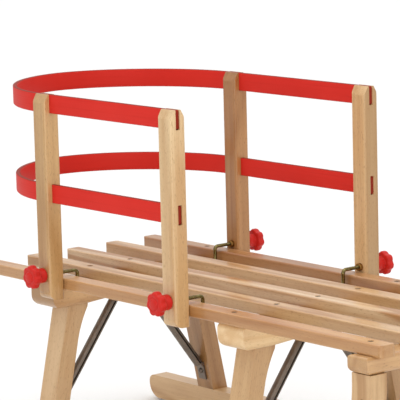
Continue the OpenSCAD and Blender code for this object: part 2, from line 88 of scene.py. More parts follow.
def lacquered_beech(name, light, dark, grain, shift, painted_face_shade,
                    figure=0.35, flecks=0.5, streaks=1.15, horn=None):
    """Planed beech under clear lacquer. To the eye: soft tan streaks and faint
    long loops of growth rings along the grain, short dark ray flecks, darker
    end grain, and a satin sheen that pales the faces seen at a low angle.
    Painted face shade is how much browner the faces across X, Y and Z are made:
    on end grain partly the wood's own darker colour, and otherwise painted shade
    on faces that get less light, such as slat sides between their neighbours."""
    material, tree, shader = new_material(name)
    place = add(tree, "ShaderNodeTexCoord").outputs["Object"]
    if horn:
        place = runner_grain(tree, place, horn)
    turn = Vector(grain).rotation_difference(Vector((1, 0, 0))).to_euler()
    board = add(tree, "ShaderNodeMapping", {"Vector": place, "Location": shift, "Rotation": turn}).outputs[0]

    def noise(along, across, detail, rough=0.5, twist=0.0):
        """Noise whose features are that many metres long and wide."""
        scaled = add(tree, "ShaderNodeVectorMath", {0: board, 1: (1 / along, 1 / across, 1 / across)},
                     operation="MULTIPLY")
        return add(tree, "ShaderNodeTexNoise",
                   {"Vector": scaled.outputs[0], "Scale": 1.0, "Detail": detail,
                    "Roughness": rough, "Distortion": twist}).outputs["Fac"]

    # Streaks 14 mm wide, fibres 1.6 mm wide; rings every 4 to 10 mm
    streak = noise(0.55, 0.014, 3.0, 0.55, 0.25)
    fibre = noise(0.045, 0.0016, 2.0)
    swell = noise(0.75, 0.075, 1.0, 0.4)
    rings = add(tree, "ShaderNodeMath", {0: swell, 1: 11.0}, operation="MULTIPLY")
    rings = add(tree, "ShaderNodeMath", {0: rings.outputs[0], 1: 1.0}, operation="PINGPONG")
    rings = add(tree, "ShaderNodeMapRange", {"Value": rings.outputs[0], "From Min": 0.55, "From Max": 1.0},
                interpolation_type="SMOOTHSTEP")
    # Ray flecks are 0.3 mm wide on the real wood, and drawn 0.9 mm wide so that they show
    ray = noise(0.0055, 0.0009, 1.0)
    ray = add(tree, "ShaderNodeMapRange", {"Value": ray, "From Min": 0.60, "From Max": 0.74,
                                           "To Max": flecks}, interpolation_type="SMOOTHSTEP")
    tone = noise(0.22, 0.09, 1.0)

    mix = add(tree, "ShaderNodeMath", {0: streak, 1: streaks, 2: 0.35 - 0.5 * streaks},
              operation="MULTIPLY_ADD")
    mix = add(tree, "ShaderNodeMath", {0: rings.outputs[0], 1: figure, 2: mix.outputs[0]},
              operation="MULTIPLY_ADD")
    mix = add(tree, "ShaderNodeMath", {0: fibre, 1: 0.45, 2: mix.outputs[0]}, operation="MULTIPLY_ADD")
    mix = add(tree, "ShaderNodeMath", {0: tone, 1: 0.6, 2: mix.outputs[0]}, operation="MULTIPLY_ADD")
    mix = add(tree, "ShaderNodeMath", {0: mix.outputs[0], 1: -0.40}, operation="ADD", use_clamp=True)
    wood = add(tree, "ShaderNodeMix", {"Factor": mix.outputs[0], 6: linear(light), 7: linear(dark)},
               data_type="RGBA")
    brown = tuple(share * c for share, c in zip((0.55, 0.50, 0.36), linear(dark))) + (1,)
    wood = add(tree, "ShaderNodeMix", {"Factor": ray.outputs[0], 6: wood.outputs[2], 7: brown},
               data_type="RGBA")
    # Painted shade: each face is mixed towards brown by its squared normal times the per-axis face shade
    # amounts; on end grain this is partly the wood's own darker colour.
    normal = add(tree, "ShaderNodeTexCoord").outputs["Normal"]
    facing = add(tree, "ShaderNodeVectorMath", {0: normal, 1: normal}, operation="MULTIPLY")
    face = add(tree, "ShaderNodeVectorMath", {0: facing.outputs[0], 1: painted_face_shade}, operation="DOT_PRODUCT")
    wood = add(tree, "ShaderNodeMix", {"Factor": face.outputs["Value"], 6: wood.outputs[2], 7: brown},
               data_type="RGBA")
    tree.links.new(wood.outputs[2], shader.inputs["Base Color"])
    gloss = add(tree, "ShaderNodeMapRange", {"Value": fibre, "To Min": 0.30, "To Max": 0.46})
    tree.links.new(gloss.outputs[0], shader.inputs["Roughness"])
    shader.inputs["IOR"].default_value = 1.5
    shader.inputs["Coat Weight"].default_value = 0.35
    shader.inputs["Coat Roughness"].default_value = 0.16
    pores = add(tree, "ShaderNodeMath", {0: fibre, 1: ray.outputs[0]}, operation="SUBTRACT")
    bump = add(tree, "ShaderNodeBump", {"Strength": 0.35, "Distance": 0.12 * MM, "Height": pores.outputs[0]})
    tree.links.new(bump.outputs[0], shader.inputs["Normal"])
    return material


def body_of_node(node):
    """The frame's body that a CAD node belongs to."""
    for body, nodes in frame["record"]["behaviour"]["bodies"].items():
        if node in nodes:
            return body


def place_piece(name, mesh, material, nodes):
    """Puts a finished mesh in the scene in place of its CAD nodes, riding on their body."""
    mesh.materials.clear()
    mesh.materials.append(material)
    piece = bpy.data.objects.new(name, mesh)
    bpy.context.scene.collection.objects.link(piece)
    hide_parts(*nodes)
    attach(piece, body_of_node(nodes[0]))
    return piece


def firm_normals(mesh):
    """Flat faces keep their own normals, and rounded edges blend between them."""
    maker = bpy.data.objects.new(mesh.name + "_maker", mesh)
    bpy.context.scene.collection.objects.link(maker)
    weigh = maker.modifiers.new("weigh", "WEIGHTED_NORMAL")
    weigh.mode, weigh.weight, weigh.keep_sharp = "FACE_AREA", 100, True
    depsgraph = bpy.context.evaluated_depsgraph_get()
    firm = bpy.data.meshes.new_from_object(maker.evaluated_get(depsgraph), depsgraph=depsgraph)
    bpy.data.objects.remove(maker)
    return firm


def eased(node, ease, material, sharp=32, segments=2, along=None):
    """A merged copy of a CAD piece with its sharp edges taken off by ease, in metres.
    Given along, only the edges that run with that direction are."""
    mesh = frame["nodes"][node].data.copy()
    for layer in [a for a in mesh.attributes if a.name in ("custom_normal", "sharp_edge", "sharp_face")]:
        mesh.attributes.remove(layer)
    bm = bmesh.new()
    bm.from_mesh(mesh)
    bmesh.ops.remove_doubles(bm, verts=bm.verts, dist=0.01 * MM)
    bmesh.ops.dissolve_limit(bm, angle_limit=math.radians(0.5), verts=bm.verts, edges=bm.edges)
    edges = [e for e in bm.edges if len(e.link_faces) == 2
             and e.calc_face_angle(0) > math.radians(sharp)
             and (along is None or abs((e.verts[0].co - e.verts[1].co).normalized().dot(along)) > 0.8)]
    if ease > 0:
        bmesh.ops.bevel(bm, geom=edges, offset=ease, offset_type="OFFSET", segments=segments, profile=0.5,
                        affect="EDGES", clamp_overlap=True, miter_outer="ARC")
    for face in bm.faces:
        face.smooth = True
    for edge in bm.edges:
        edge.smooth = len(edge.link_faces) == 2 and edge.calc_face_angle(0) < math.radians(sharp)
    bm.to_mesh(mesh)
    bm.free()
    return place_piece(node + "_piece", firm_normals(mesh), material, [node])


BEAM_EASE = 0.6 * MM
# The last column darkens faces across X, Y and Z: on the Y faces, the end grain, partly as the wood's own
# darker colour and partly as painted shade; on the X and Z faces as painted shade.
beam_wood = {
    "yoke_rear": ("D6AE7C", "B48758", (0.31, 0.12, 0.05), (0.0, 0.78, 0.1)),
    "yoke_front": ("F0D4A6", "D8B07C", (0.73, 0.44, 0.21), (0.1, 0.12, 0.1)),
    "crossbar": ("D6AE7C", "B48758", (0.17, 0.83, 0.36), (0.05, 0.35, 0.1)),
}
for node, (light, dark, shift, painted_face_shade) in beam_wood.items():
    wood = lacquered_beech("lacquered beech " + node, light, dark, (0, 1, 0), shift, painted_face_shade)
    eased(node, BEAM_EASE, wood)

# ----------------------------------------------------------------------- Legs
# Four beech legs lean outward, straight outside and flared inside where they
# meet the yoke. Each has a tenon at both ends, glued into yoke and runner.

SIDES = {"right": -1, "left": 1}
LEG_LEAN = math.radians(12)
LEG_EDGE = 3.2 * MM
leg_wood = {
    "leg_rear_right": ("D6B68C", "B98F60", (0.11, 0.27, 0.52)),
    # The far rear leg stands in the shade under the seat, and its darker wood colours are painted shade.
    "leg_rear_left": ("B08452", "8E6233", (0.62, 0.31, 0.77)),
    "leg_front_right": ("CFAB7C", "AE8253", (0.43, 0.91, 0.16)),
    "leg_front_left": ("C59F70", "A3774A", (0.87, 0.58, 0.39)),
}
for node, (light, dark, shift) in leg_wood.items():
    side = SIDES[node.split("_")[2]]
    grain = (0, -side * math.sin(LEG_LEAN), math.cos(LEG_LEAN))
    # The ends across Z, the end grain, are darker partly as the wood's own colour; the sides are made a
    # little darker as painted shade.
    wood = lacquered_beech("lacquered beech " + node, light, dark, grain, shift, (0.05, 0.05, 0.4))
    eased(node, LEG_EDGE, wood, sharp=40, segments=4, along=Vector(grain))

# -------------------------------------------------------------------- Runners
# Each runner is one ash stave, steamed and bent up at the front into a horn.
# The grain follows the bend. A hole in the horn takes a pull cord.

HORN_RADIUS = 185 * MM
RUNNER_HEIGHT = 33 * MM
SHOE_THICK = 3 * MM


def runner_grain(tree, place, horn):
    """Straightens the bent runner: distance along it, across it, and through it."""
    centre_x, centre_z, radius = horn
    axes = add(tree, "ShaderNodeSeparateXYZ", {0: place})
    ahead = add(tree, "ShaderNodeMath", {0: axes.outputs[0], 1: centre_x}, operation="SUBTRACT")
    ahead = add(tree, "ShaderNodeMath", {0: ahead.outputs[0], 1: 0.0}, operation="MAXIMUM")
    below = add(tree, "ShaderNodeMath", {0: centre_z, 1: axes.outputs[2]}, operation="SUBTRACT")
    angle = add(tree, "ShaderNodeMath", {0: ahead.outputs[0], 1: below.outputs[0]}, operation="ARCTAN2")
    spoke = add(tree, "ShaderNodeCombineXYZ", {0: ahead.outputs[0], 1: below.outputs[0]})
    reach = add(tree, "ShaderNodeVectorMath", {0: spoke.outputs[0]}, operation="LENGTH")
    straight = add(tree, "ShaderNodeMath", {0: axes.outputs[0], 1: centre_x}, operation="MINIMUM")
    along = add(tree, "ShaderNodeMath", {0: angle.outputs[0], 1: radius, 2: straight.outputs[0]},
                operation="MULTIPLY_ADD")
    return add(tree, "ShaderNodeCombineXYZ",
               {0: along.outputs[0], 1: axes.outputs[1], 2: reach.outputs["Value"]}).outputs[0]


def middle(node, axis):
    """The middle of a CAD node's box along one axis."""
    low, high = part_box(node)
    return (low[axis] + high[axis]) / 2


# The bend's centre along X and Z, and the radius of the runner's outer face
horn = (middle("crossbar", 0) + RUNNER_HEIGHT / 2 - HORN_RADIUS, SHOE_THICK + HORN_RADIUS, HORN_RADIUS)
for name, shift in (("right", (0.21, 0.37, 0.64)), ("left", (0.55, 0.72, 0.28))):
    wood = lacquered_beech("lacquered bent ash " + name, "D4B183", "A97F50", (1, 0, 0), shift, (0, 0, 0),
                           figure=0.55, flecks=0.2, horn=horn)
    eased("runner_" + name, 1.2 * MM, wood, sharp=40)

# ---------------------------------------------------------------- Steel shoes
# A strip of rolled mild steel is screwed under each runner and follows it up
# the horn. Sliding keeps it bright along its length.

shoe_material, tree, shader = new_material("rolled mild steel strip")
place = runner_grain(tree, add(tree, "ShaderNodeTexCoord").outputs["Object"], horn)
# Scratches along the strip 0.5 mm apart, drawn 1.2 mm apart so that they show
lines = add(tree, "ShaderNodeVectorMath", {0: place, 1: (9.0, 820.0, 30.0)}, operation="MULTIPLY")
scratch = add(tree, "ShaderNodeTexNoise", {"Vector": lines.outputs[0], "Scale": 1.0, "Detail": 4.0})
stain = add(tree, "ShaderNodeTexNoise", {"Vector": place, "Scale": 28.0, "Detail": 3.0})
steel = add(tree, "ShaderNodeMix",
            {"Factor": scratch.outputs["Fac"], 6: linear("8E9092"), 7: linear("C3C4C4")}, data_type="RGBA")
dull = add(tree, "ShaderNodeMapRange", {"Value": stain.outputs["Fac"], "From Min": 0.56, "From Max": 0.74,
                                        "To Max": 0.5})
steel = add(tree, "ShaderNodeMix", {"Factor": dull.outputs[0], 6: steel.outputs[2], 7: linear("6E655C")},
            data_type="RGBA")
tree.links.new(steel.outputs[2], shader.inputs["Base Color"])
rough = add(tree, "ShaderNodeMapRange", {"Value": scratch.outputs["Fac"], "To Min": 0.24, "To Max": 0.46})
tree.links.new(rough.outputs[0], shader.inputs["Roughness"])
shader.inputs["Metallic"].default_value = 1.0
bump = add(tree, "ShaderNodeBump",
           {"Strength": 0.25, "Distance": 0.05 * MM, "Height": scratch.outputs["Fac"]})
tree.links.new(bump.outputs[0], shader.inputs["Normal"])
for name in SIDES:
    eased("shoe_" + name, 0.4 * MM, shoe_material, sharp=40, segments=1)

# ------------------------------------------------------------- Bracing struts
# Four struts are rolled from steel strip with an open seam, flattened at both
# ends and screwed under the yoke and to the leg. They are coated dark grey.

strut_material, tree, shader = new_material("dark coated steel tube")
place = add(tree, "ShaderNodeTexCoord").outputs["Object"]
cloud = add(tree, "ShaderNodeTexNoise", {"Vector": place, "Scale": 90.0, "Detail": 4.0})
grit = add(tree, "ShaderNodeTexNoise", {"Vector": place, "Scale": 1400.0, "Detail": 1.0})
coat = add(tree, "ShaderNodeMix", {"Factor": cloud.outputs["Fac"], 6: linear("6A5F57"), 7: linear("8D8276")},
           data_type="RGBA")
tree.links.new(coat.outputs[2], shader.inputs["Base Color"])
rough = add(tree, "ShaderNodeMapRange", {"Value": cloud.outputs["Fac"], "To Min": 0.34, "To Max": 0.52})
tree.links.new(rough.outputs[0], shader.inputs["Roughness"])
shader.inputs["Metallic"].default_value = 0.75
bump = add(tree, "ShaderNodeBump", {"Strength": 0.2, "Distance": 0.05 * MM, "Height": grit.outputs["Fac"]})
tree.links.new(bump.outputs[0], shader.inputs["Normal"])
ENDS = ("rear", "front")
for end in ENDS:
    for name in SIDES:
        eased(f"strut_{end}_{name}", 0.25 * MM, strut_material, sharp=45, segments=1)

# ---------------------------------------------------------------------- Slats
# Five seat slats of planed beech lie along the sled with rounded edges and
# corners. Each is fixed by one countersunk screw on every cross beam.

slat_wood = {
    "slat_right_outer": ("D3A774", "A9733F", (0.05, 0.33, 0.47), 0.40),
    "slat_right_inner": ("DEBC8F", "AD7E4C", (0.67, 0.12, 0.85), 0.50),
    "slat_middle": ("EACFA8", "AC7A46", (0.39, 0.56, 0.14), 0.85),
    "slat_left_inner": ("DEBB90", "B0814E", (0.93, 0.41, 0.62), 0.50),
    "slat_left_outer": ("C3976A", "9F6A3A", (0.28, 0.79, 0.31), 0.40),
}
# Each slat's faces across X, its end grain, are darker partly as the wood's own colour; its sides across Y
# are darker as painted shade, as between neighbouring slats.
for node, (light, dark, shift, figure) in slat_wood.items():
    wood = lacquered_beech("lacquered beech " + node, light, dark, (1, 0, 0), shift, (0.35, 0.32, 0.0),
                           figure=figure, streaks=1.9)
    eased(node, 0.5 * MM, wood, sharp=40)

# --------------------------------------------------------------------- Screws
# Countersunk wood screws of browned steel with a cross recess sit just below
# the slat tops and the shoes; pan-head screws hold the struts.

screw_material, tree, shader = new_material("browned screw steel")
place = add(tree, "ShaderNodeTexCoord").outputs["Object"]
patina = add(tree, "ShaderNodeTexNoise", {"Vector": place, "Scale": 700.0, "Detail": 3.0})
brown = add(tree, "ShaderNodeMix",
            {"Factor": patina.outputs["Fac"], 6: linear("4A4038"), 7: linear("8B8075")}, data_type="RGBA")
tree.links.new(brown.outputs[2], shader.inputs["Base Color"])
rough = add(tree, "ShaderNodeMapRange", {"Value": patina.outputs["Fac"], "To Min": 0.3, "To Max": 0.5})
tree.links.new(rough.outputs[0], shader.inputs["Roughness"])
shader.inputs["Metallic"].default_value = 1.0

HEAD_R = 3.95 * MM
SHANK_R = 2.05 * MM
AROUND = 24


def lathe_rings(bm, profile, around):
    """Rings of vertices about Z for each (radius, height) of a profile."""
    return [[bm.verts.new((r * math.cos(2 * math.pi * k / around), r * math.sin(2 * math.pi * k / around), z))
             for k in range(around)] for r, z in profile]


def join_rings(bm, rings):
    """Closes the wall between each ring and the next."""
    for a, b in zip(rings, rings[1:]):
        for k in range(len(a)):
            n = (k + 1) % len(a)
            bm.faces.new((a[k], a[n], b[n], b[k]))


def screw_mesh(name, length, pan):
    """A wood screw that points down from its head, whose rim is at z = 0."""
    bm = bmesh.new()
    if pan:
        cone = [(HEAD_R * 0.98, 0.0), (HEAD_R, 0.5 * MM), (HEAD_R * 0.9, 1.5 * MM), (HEAD_R * 0.66, 2.2 * MM)]
        shank = [(SHANK_R, 0.0)]
    else:
        cone = [(HEAD_R, -0.3 * MM), (HEAD_R, -0.08 * MM), (HEAD_R - 0.1 * MM, 0.0)]
        shank = [(SHANK_R, -2.5 * MM)]
    point = [(0.35 * MM, -length), (SHANK_R * 0.9, -length + 4 * MM), (SHANK_R, -length + 6 * MM)]
    rings = lathe_rings(bm, point + shank + cone, AROUND)
    join_rings(bm, rings)
    bm.faces.new(list(reversed(rings[0])))
    # Cross recess: a plus outline in the top, sunk and narrowed
    top = cone[-1][1]
    arm, half, deep = 2.1 * MM, 0.45 * MM, 1.3 * MM
    outline = [(arm, -half), (arm, half), (half, half), (half, arm), (-half, arm), (-half, half),
               (-arm, half), (-arm, -half), (-half, -half), (-half, -arm), (half, -arm), (half, -half)]
    rim = [bm.verts.new((x, y, top)) for x, y in outline]
    pit = [bm.verts.new((x * 0.7, y * 0.7, top - deep)) for x, y in outline]
    corners = len(outline)
    rim_edges = [bm.edges.new((rim[k], rim[(k + 1) % corners])) for k in range(corners)]
    last = rings[-1]
    last_edges = [bm.edges.get((last[k], last[(k + 1) % AROUND])) for k in range(AROUND)]
    bmesh.ops.bridge_loops(bm, edges=rim_edges + last_edges)
    for k in range(corners):
        n = (k + 1) % corners
        bm.faces.new((rim[k], rim[n], pit[n], pit[k]))
    bm.faces.new(pit)
    bmesh.ops.recalc_face_normals(bm, faces=bm.faces)
    mesh = bpy.data.meshes.new(name)
    bm.to_mesh(mesh)
    bm.free()
    return mesh


def geometry_tree(name, inputs, output):
    """An empty geometry tree with inputs of the kinds given and one geometry output."""
    tree = bpy.data.node_groups.new(name, "GeometryNodeTree")
    for label, kind in inputs.items():
        tree.interface.new_socket(label, in_out="INPUT", socket_type="NodeSocket" + kind)
    tree.interface.new_socket(output, in_out="OUTPUT", socket_type="NodeSocketGeometry")
    return tree


def screw_tree(name):
    """Sets one screw on every point, turned by the point's own turn and rolled by chance."""
    tree = geometry_tree(name, {"Points": "Geometry", "Screw": "Object", "Roll Seed": "Int",
                                "Finish": "Material"}, "Screws")
    given = add(tree, "NodeGroupInput")
    turn = add(tree, "GeometryNodeInputNamedAttribute", {"Name": "turn"}, data_type="FLOAT_VECTOR")
    screw = add(tree, "GeometryNodeObjectInfo", {"Object": given.outputs["Screw"]})
    turned = add(tree, "FunctionNodeEulerToRotation", {0: turn.outputs[0]})
    placed = add(tree, "GeometryNodeInstanceOnPoints",
                 {"Points": given.outputs["Points"], "Instance": screw.outputs["Geometry"],
                  "Rotation": turned.outputs[0]})
    roll = add(tree, "FunctionNodeRandomValue", {"Seed": given.outputs["Roll Seed"]}, data_type="FLOAT")
    roll.inputs[3].default_value = math.pi / 2
    spin = add(tree, "ShaderNodeCombineXYZ", {2: roll.outputs[1]})
    rolled = add(tree, "GeometryNodeRotateInstances",
                 {"Instances": placed.outputs[0], "Rotation": spin.outputs[0]})
    rolled.inputs["Local Space"].default_value = True
    real = add(tree, "GeometryNodeRealizeInstances", {0: rolled.outputs[0]})
    finished = add(tree, "GeometryNodeSetMaterial",
                   {"Geometry": real.outputs[0], "Material": given.outputs["Finish"]})
    add(tree, "NodeGroupOutput", {0: finished.outputs[0]})
    return tree


def set_inputs(modifier, values):
    """Sets a modifier's inputs by their sockets' identifiers."""
    for item in modifier.node_group.interface.items_tree:
        if item.item_type == "SOCKET" and item.in_out == "INPUT" and item.name in values:
            modifier[item.identifier] = values[item.name]


def grown_mesh(name, base, tree, values):
    """Runs a geometry tree on a base mesh and returns the result as a plain mesh."""
    maker = bpy.data.objects.new(name + "_maker", base)
    bpy.context.scene.collection.objects.link(maker)
    modifier = maker.modifiers.new("grow", "NODES")
    modifier.node_group = tree
    set_inputs(modifier, values)
    depsgraph = bpy.context.evaluated_depsgraph_get()
    mesh = bpy.data.meshes.new_from_object(maker.evaluated_get(depsgraph), depsgraph=depsgraph)
    bpy.data.objects.remove(maker)
    mesh.name = name
    return mesh


def screw_set(name, places, length, seed, pan=False):
    """Screws of one kind: places is a list of (point, direction that the head faces)."""
    base = bpy.data.meshes.new(name + "_points")
    base.from_pydata([p for p, _ in places], [], [])
    turns = base.attributes.new("turn", "FLOAT_VECTOR", "POINT")
    for k, (_, facing) in enumerate(places):
        turns.data[k].vector = Vector((0, 0, 1)).rotation_difference(Vector(facing)).to_euler()
    one = bpy.data.objects.new(name + "_one", screw_mesh(name + "_one", length, pan))
    bpy.context.scene.collection.objects.link(one)
    mesh = grown_mesh(name, base, screw_tree(name + " on points"),
                      {"Screw": one, "Roll Seed": seed, "Finish": screw_material})
    bpy.data.objects.remove(one)
    bm = bmesh.new()
    bm.from_mesh(mesh)
    for face in bm.faces:
        face.smooth = True
    for edge in bm.edges:
        edge.smooth = edge.calc_face_angle(0) < math.radians(35)
    bm.to_mesh(mesh)
    bm.free()
    return place_piece(name + "_set", mesh, screw_material, [name])


SINK = 0.7 * MM
seat_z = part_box("slat_middle")[1][2]
beam_x = [middle(beam, 0) for beam in beam_wood]
slat_y = [middle(slat, 1) for slat in slat_wood]
SLAT_SCREW = 37.9 * MM
places = [((x, y, seat_z - SINK), (0, 0, 1)) for x in beam_x for y in slat_y]
screw_set("slat_screws", places, SLAT_SCREW, 4)

runner_y = middle("runner_left", 1)
runner_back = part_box("runner_left")[0][0]
TAIL_MARGIN, BEAM_MARGIN, HORN_MARGIN = 44 * MM, 70 * MM, 12 * MM
shoe_x = (runner_back + TAIL_MARGIN, beam_x[0] + BEAM_MARGIN, beam_x[1] - BEAM_MARGIN, horn[0] - HORN_MARGIN)
SHOE_SCREW = 19.9 * MM
places = [((x, s * runner_y, SINK / 2), (0, 0, -1)) for x in shoe_x for s in (-1, 1)]
screw_set("shoe_screws", places, SHOE_SCREW, 9)

# Strut tabs: the top one lies under the arch, the foot one on the leg's inner face
TAB_THICK = 2.5 * MM
TAB_SCREW = 15.8 * MM
TAB_Y = 17.5 * MM
LEG_TOP_Y = 108.5 * MM
LEG_HALF_WIDTH = 12.5 * MM
STRUT_FOOT_Z = 66 * MM
places = []
for k, end in enumerate(ENDS):
    tab_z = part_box(f"strut_{end}_left")[1][2] - TAB_THICK
    yoke_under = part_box(f"yoke_{end}")[0][2]
    drop = (yoke_under - STRUT_FOOT_Z) / math.cos(LEG_LEAN)
    for s in (-1, 1):
        places.append(((beam_x[k], s * TAB_Y, tab_z), (0, 0, -1)))
        across = -LEG_HALF_WIDTH - TAB_THICK
        y = LEG_TOP_Y + across * math.cos(LEG_LEAN) + drop * math.sin(LEG_LEAN)
        z = yoke_under + across * math.sin(LEG_LEAN) - drop * math.cos(LEG_LEAN)
        places.append(((beam_x[k], s * y, z), (0, -s * math.cos(LEG_LEAN), -math.sin(LEG_LEAN))))
screw_set("strut_screws", places, TAB_SCREW, 2, pan=True)

# ------------------------------------------------------------- Backrest posts
# Four square beech posts have slanted shoulders and rounded feet and edges. An
# open slot in the top and a mortise lower down hold the two bent bands.

# The last column darkens faces across X, Y and Z: on the sides and fronts along the grain it is painted shade
# where less light falls; on the end-grain tops and feet partly the wood's own darker colour.
post_wood = {
    "post_rear_right": ("D1AA75", "AC7F4A", (0.16, 0.68, 0.23), (0.0, 0.27, 0.1)),
    "post_front_right": ("E6CB9E", "C49A68", (0.51, 0.22, 0.91), (0.0, 0.24, 0.1)),
    "post_rear_left": ("BE8B54", "96622E", (0.84, 0.35, 0.48), (0.0, 0.36, 0.1)),
    "post_front_left": ("E3C292", "BB8C55", (0.33, 0.94, 0.59), (0.58, 0.0, 0.1)),
}
for node, (light, dark, shift, painted_face_shade) in post_wood.items():
    wood = lacquered_beech("lacquered beech " + node, light, dark, (0, 0, 1), shift, painted_face_shade,
                           flecks=0.6, streaks=1.6)
    eased(node, 0.5 * MM, wood, sharp=40)

# --------------------------------------------------------------- Bent bands
# Two thin ash strips, steamed and bent round the back in one piece and painted
# red, run through the posts. The paint is satin; its narrow edges and front ends
# are painted darker as shade.

band_material, tree, shader = new_material("satin red paint on ash")
place = add(tree, "ShaderNodeAttribute", attribute_name="grain").outputs["Vector"]
# Grain telegraphs through the paint as ridges 2 mm apart
lines = add(tree, "ShaderNodeVectorMath", {0: place, 1: (6.0, 450.0, 450.0)}, operation="MULTIPLY")
ridge = add(tree, "ShaderNodeTexNoise", {"Vector": lines.outputs[0], "Scale": 1.0, "Detail": 3.0})
cloud = add(tree, "ShaderNodeTexNoise", {"Vector": place, "Scale": 11.0, "Detail": 2.0})
red = add(tree, "ShaderNodeMix", {"Factor": cloud.outputs["Fac"], 6: linear("C6271E"), 7: linear("D23026")},
          data_type="RGBA")
dark_line = add(tree, "ShaderNodeMapRange", {"Value": ridge.outputs["Fac"], "From Min": 0.55, "From Max": 0.8,
                                             "To Max": 0.35})
red = add(tree, "ShaderNodeMix", {"Factor": dark_line.outputs[0], 6: red.outputs[2], 7: linear("A81C16")},
          data_type="RGBA")
# Painted shade: the narrow top and bottom edges, and the front ends that sit in the post slots, are mixed
# towards dark brownish red.
normal = add(tree, "ShaderNodeSeparateXYZ", {0: add(tree, "ShaderNodeTexCoord").outputs["Normal"]})
edge = add(tree, "ShaderNodeMath", {0: normal.outputs[2]}, operation="ABSOLUTE")
ahead = add(tree, "ShaderNodeSeparateXYZ", {0: add(tree, "ShaderNodeTexCoord").outputs["Object"]})
ahead = add(tree, "ShaderNodeMath", {0: ahead.outputs[0], 1: 0.0}, operation="GREATER_THAN")
painted_end_shade = add(tree, "ShaderNodeMath", {0: normal.outputs[0], 1: ahead.outputs[0]}, operation="MULTIPLY")
edge = add(tree, "ShaderNodeMath", {0: edge.outputs[0], 1: painted_end_shade.outputs[0]}, operation="MAXIMUM")
edge = add(tree, "ShaderNodeMapRange", {"Value": edge.outputs[0], "From Min": 0.5, "From Max": 0.8})
red = add(tree, "ShaderNodeMix", {"Factor": edge.outputs[0], 6: red.outputs[2], 7: linear("8A2B1C")},
          data_type="RGBA")
tree.links.new(red.outputs[2], shader.inputs["Base Color"])
rough = add(tree, "ShaderNodeMapRange", {"Value": ridge.outputs["Fac"], "To Min": 0.44, "To Max": 0.58})
tree.links.new(rough.outputs[0], shader.inputs["Roughness"])
shader.inputs["IOR"].default_value = 1.5
shader.inputs["Specular IOR Level"].default_value = 0.1
bump = add(tree, "ShaderNodeBump", {"Strength": 0.3, "Distance": 0.08 * MM, "Height": ridge.outputs["Fac"]})
tree.links.new(bump.outputs[0], shader.inputs["Normal"])

BAND_THICK = 6 * MM
BAND_HEIGHT = 25 * MM
BAND_EDGE = 1.3 * MM
BAND_NOSE = 3 * MM
BEND_POWER = 1.84
RUN_STEPS = 12
BEND_STEPS = 96


def band_tree():
    """Sweeps a rounded strip section along a path and keeps the place along it for the grain."""
    tree = geometry_tree("bent band", {"Path": "Geometry", "Thickness": "Float", "Height": "Float",
                                       "Edge Radius": "Float", "Finish": "Material"}, "Band")
    given = add(tree, "NodeGroupInput")
    path = add(tree, "GeometryNodeMeshToCurve", {0: given.outputs["Path"]})
    upright = add(tree, "GeometryNodeSetCurveNormal", {"Curve": path.outputs[0]}, mode="Z_UP")
    along = add(tree, "GeometryNodeSplineParameter")
    marked = add(tree, "GeometryNodeCaptureAttribute", {"Geometry": upright.outputs[0]})
    marked.capture_items.new("FLOAT", "Along")
    tree.links.new(along.outputs["Length"], marked.inputs["Along"])
    section = add(tree, "GeometryNodeCurvePrimitiveQuadrilateral",
                  {"Width": given.outputs["Thickness"], "Height": given.outputs["Height"]})
    section = add(tree, "GeometryNodeFilletCurve",
                  {"Curve": section.outputs[0], "Radius": given.outputs["Edge Radius"], "Count": 3},
                  mode="POLY")
    across = add(tree, "GeometryNodeInputPosition")
    shaped = add(tree, "GeometryNodeCaptureAttribute", {"Geometry": section.outputs[0]})
    shaped.capture_items.new("VECTOR", "Across")
    tree.links.new(across.outputs[0], shaped.inputs["Across"])
    swept = add(tree, "GeometryNodeCurveToMesh",
                {"Curve": marked.outputs[0], "Profile Curve": shaped.outputs[0], "Fill Caps": True})
    parts = add(tree, "ShaderNodeSeparateXYZ", {0: shaped.outputs["Across"]})
    grain = add(tree, "ShaderNodeCombineXYZ",
                {0: marked.outputs["Along"], 1: parts.outputs[0], 2: parts.outputs[1]})
    stored = add(tree, "GeometryNodeStoreNamedAttribute",
                 {"Geometry": swept.outputs[0], "Name": "grain", "Value": grain.outputs[0]},
                 data_type="FLOAT_VECTOR", domain="POINT")
    real = add(tree, "GeometryNodeRealizeInstances", {0: stored.outputs[0]})
    finished = add(tree, "GeometryNodeSetMaterial",
                   {"Geometry": real.outputs[0], "Material": given.outputs["Finish"]})
    add(tree, "NodeGroupOutput", {0: finished.outputs[0]})
    return tree


